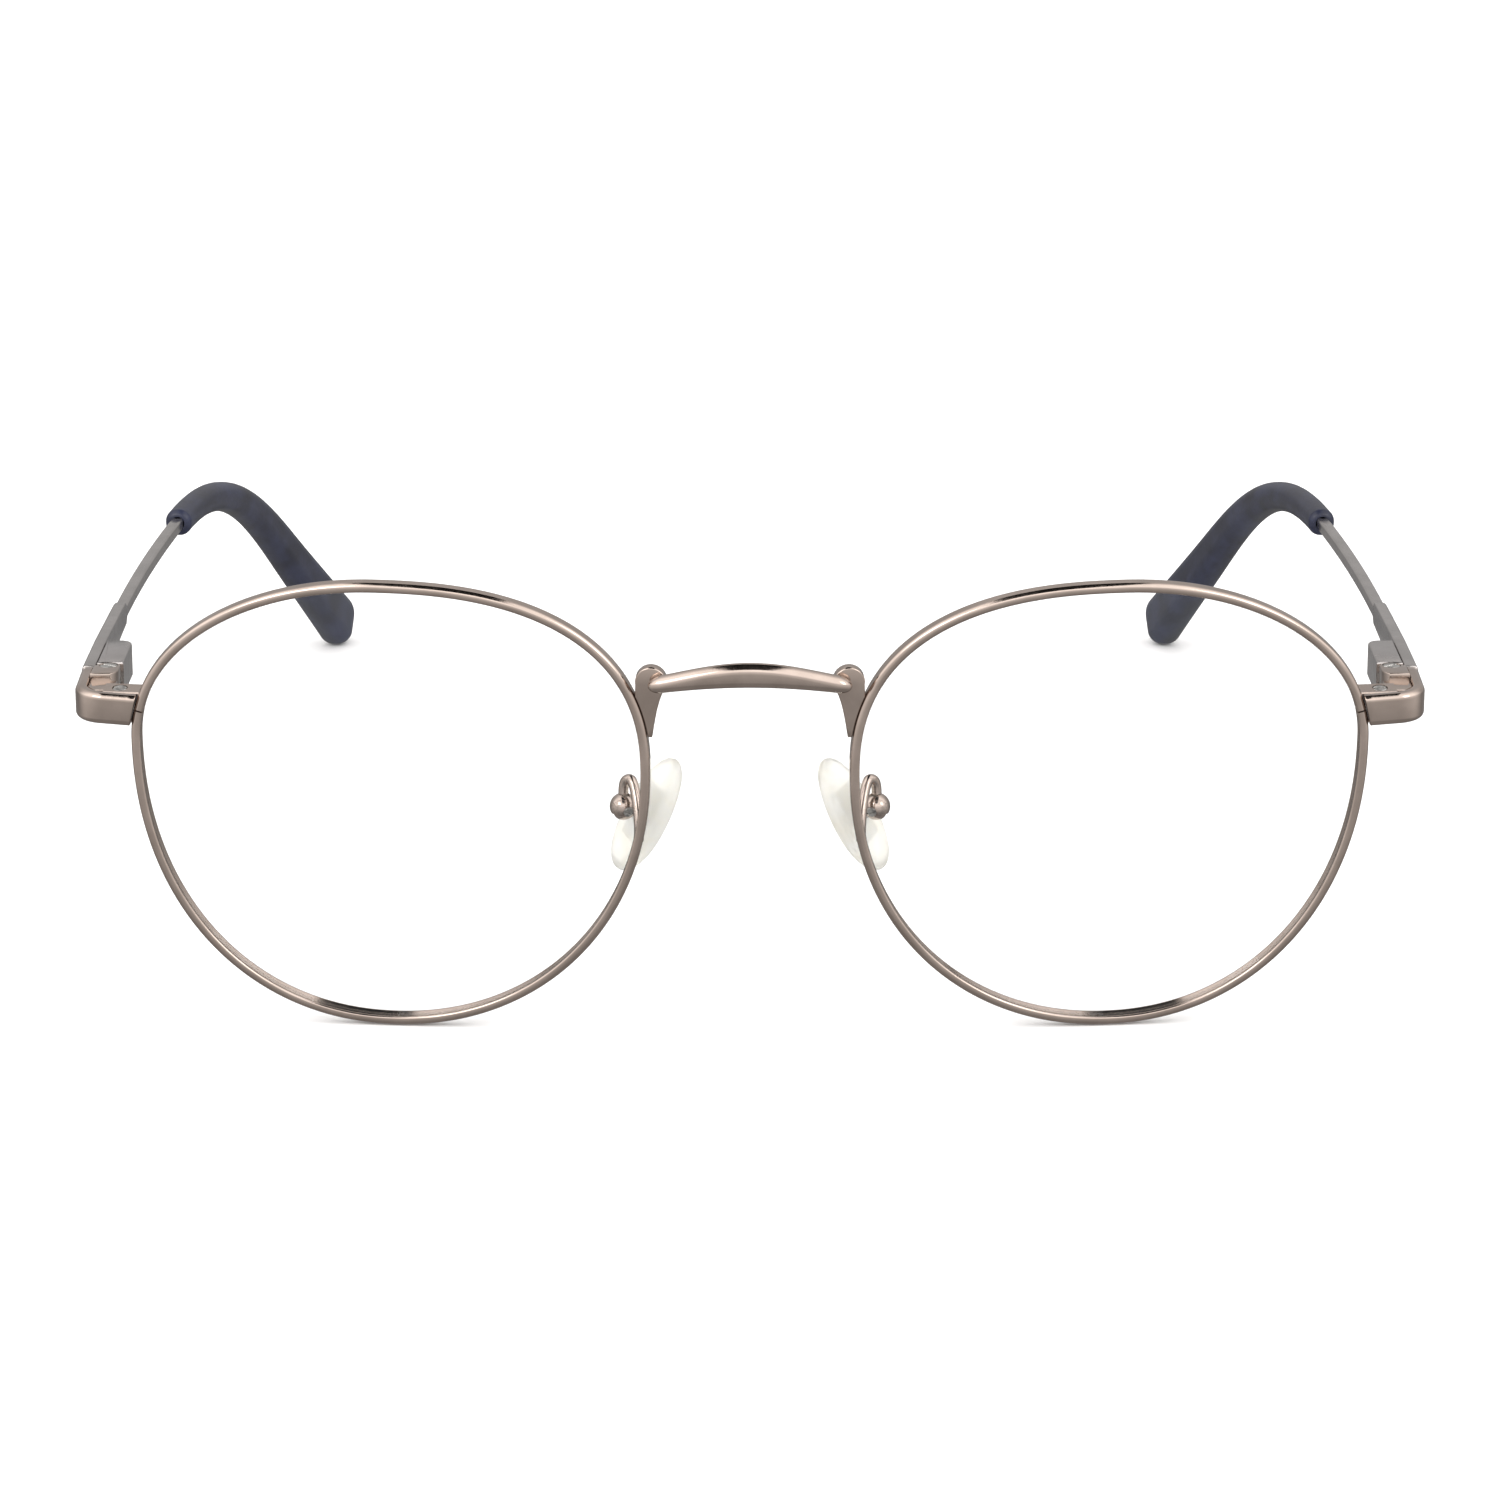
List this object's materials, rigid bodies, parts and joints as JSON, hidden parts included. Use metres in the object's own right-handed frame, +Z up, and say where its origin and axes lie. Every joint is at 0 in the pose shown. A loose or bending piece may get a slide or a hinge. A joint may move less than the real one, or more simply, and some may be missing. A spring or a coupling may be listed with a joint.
{
  "type": "wire eyeglasses",
  "caption": "Round wire eyeglasses with an arched bridge, silicone nose pads on wire arms, sprung hinges and curved plastic ear tips.",
  "frame": {"origin": "on the surface the glasses stand on, under the middle of their bounding box", "axes": "+X along the front to the right-hand end as seen from the front's outside, -Y out of the front, +Y back along the temples, +Z up"},
  "size_m": [0.13, 0.1562, 0.0463],
  "materials": {
    "gunmetal": "polished warm gunmetal plating",
    "gunmetal_hinge": "polished gunmetal plating on small castings and wire",
    "gunmetal_temple": "satin-polished gunmetal plating",
    "steel": "plain machined steel",
    "lens_clear": "clear, polished, uncoated",
    "polycarbonate": "clear moulded polycarbonate",
    "silicone": "milky translucent silicone",
    "acetate_navy": "dark navy satin-gloss acetate"
  },
  "bodies": {
    "front": {"bridge_bar": "gunmetal", "left_eyewire": "gunmetal", "left_lens": "lens_clear", "left_end_piece": "gunmetal", "left_closing_block_upper": "gunmetal", "left_closing_block_lower": "gunmetal", "left_closing_screw": "steel", "left_bridge_plate": "gunmetal", "left_pad_arm": "gunmetal_hinge", "left_pad_box": "gunmetal_hinge", "left_pad_screw": "steel", "left_hinge_knuckle": "gunmetal_hinge", "right_eyewire": "gunmetal", "right_lens": "lens_clear", "right_end_piece": "gunmetal", "right_closing_block_upper": "gunmetal", "right_closing_block_lower": "gunmetal", "right_closing_screw": "steel", "right_bridge_plate": "gunmetal", "right_pad_arm": "gunmetal_hinge", "right_pad_box": "gunmetal_hinge", "right_pad_screw": "steel", "right_hinge_knuckle": "gunmetal_hinge"},
    "left_pin": {"left_hinge_screw": "steel"},
    "left_carriage": {"left_spring_carriage": "steel", "left_rod_nut": "steel"},
    "left_temple": {"left_temple": "gunmetal_temple", "left_temple_tip": "acetate_navy", "left_spring_housing": "gunmetal_hinge", "left_spring_stop": "steel", "left_coil_spring": "steel"},
    "left_pad": {"left_nose_pad": "silicone", "left_pad_insert": "polycarbonate"},
    "right_pin": {"right_hinge_screw": "steel"},
    "right_carriage": {"right_spring_carriage": "steel", "right_rod_nut": "steel"},
    "right_temple": {"right_temple": "gunmetal_temple", "right_temple_tip": "acetate_navy", "right_spring_housing": "gunmetal_hinge", "right_spring_stop": "steel", "right_coil_spring": "steel"},
    "right_pad": {"right_nose_pad": "silicone", "right_pad_insert": "polycarbonate"}
  },
  "joints": [
    {"name": "left_temple_fold", "type": "hinge", "parent": "front", "child": "left_pin", "pos_m": [-0.06235, -0.06349, 0.03317], "axis": [0, -0.0027, -1], "range_deg": [0, 86]},
    {"name": "left_temple_flex", "type": "hinge", "parent": "left_pin", "child": "left_carriage", "pos_m": [-0.06235, -0.06349, 0.03317], "axis": [0, -0.0027, -1], "range_deg": [-12, 0], "stiffness_Nm_per_rad": 0.3},
    {"name": "left_spring_travel", "type": "slide", "parent": "left_carriage", "child": "left_temple", "axis": [0, 1, -0.0027], "range_m": [0, 0.00056], "deforming": ["left_coil_spring"]},
    {"name": "left_pad_rock", "type": "hinge", "parent": "front", "child": "left_pad", "pos_m": [-0.0123, -0.06723, 0.02174], "axis": [0.4145, -0.8835, -0.218], "range_deg": [-10, 10]},
    {"name": "right_temple_fold", "type": "hinge", "parent": "front", "child": "right_pin", "pos_m": [0.06235, -0.06349, 0.03317], "axis": [0, 0.0027, 1], "range_deg": [0, 83]},
    {"name": "right_temple_flex", "type": "hinge", "parent": "right_pin", "child": "right_carriage", "pos_m": [0.06235, -0.06349, 0.03317], "axis": [0, 0.0027, 1], "range_deg": [-12, 0], "stiffness_Nm_per_rad": 0.3},
    {"name": "right_spring_travel", "type": "slide", "parent": "right_carriage", "child": "right_temple", "axis": [0, 1, -0.0027], "range_m": [0, 0.00056], "deforming": ["right_coil_spring"]},
    {"name": "right_pad_rock", "type": "hinge", "parent": "front", "child": "right_pad", "pos_m": [0.0123, -0.06723, 0.02174], "axis": [0.4145, 0.8835, 0.218], "range_deg": [-10, 10]}
  ],
  "couplings": [
    {"joint": "left_spring_travel", "follows": "left_temple_flex", "m_per_rad": -0.00265},
    {"joint": "right_spring_travel", "follows": "right_temple_flex", "m_per_rad": -0.00265}
  ]
}
